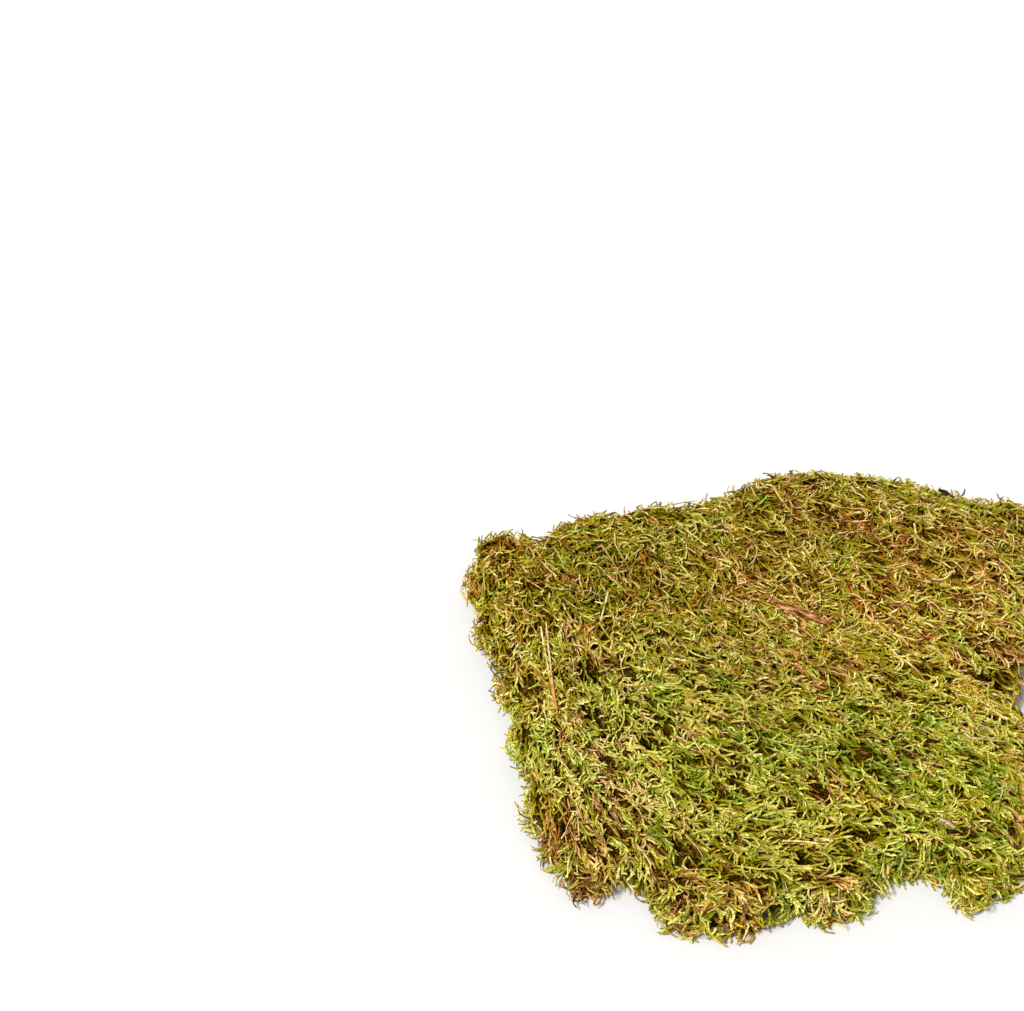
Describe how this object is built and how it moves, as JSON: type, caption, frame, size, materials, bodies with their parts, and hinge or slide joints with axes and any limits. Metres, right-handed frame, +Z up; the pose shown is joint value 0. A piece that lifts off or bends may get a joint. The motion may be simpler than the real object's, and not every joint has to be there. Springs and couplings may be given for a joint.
{
  "type": "moss mat",
  "caption": "Flat, ragged-edged mat of dried sheet moss with pine needles, straws, a twig and bark lying on it, resting on a flat underside.",
  "frame": {"origin": "middle of the mat's box, on the surface that it rests on", "axes": "+Z up, +X to the viewer's right and +Y away from the viewer of the picture"},
  "size_m": [0.3754, 0.3614, 0.0448],
  "materials": {
    "moss": "matt, fibrous, yellow-green shoots over brown stems",
    "dry_needle": "dry, slightly glossy",
    "straw": "dry, pale",
    "twig": "dry, rough",
    "bark": "rough, flaky",
    "dark_bark": "rough, dark"
  },
  "bodies": {
    "root": {"moss_mat": "moss", "pine_needle_pair": "dry_needle", "pale_needle": "dry_needle", "grey_needle": "dry_needle", "grass_straw": "straw", "curved_straw": "straw", "back_straw": "straw", "pale_stem": "straw", "pink_stem": "twig", "dry_twig": "twig", "bark_sliver": "bark", "bark_flake": "bark", "bark_chip": "dark_bark"}
  },
  "joints": []
}
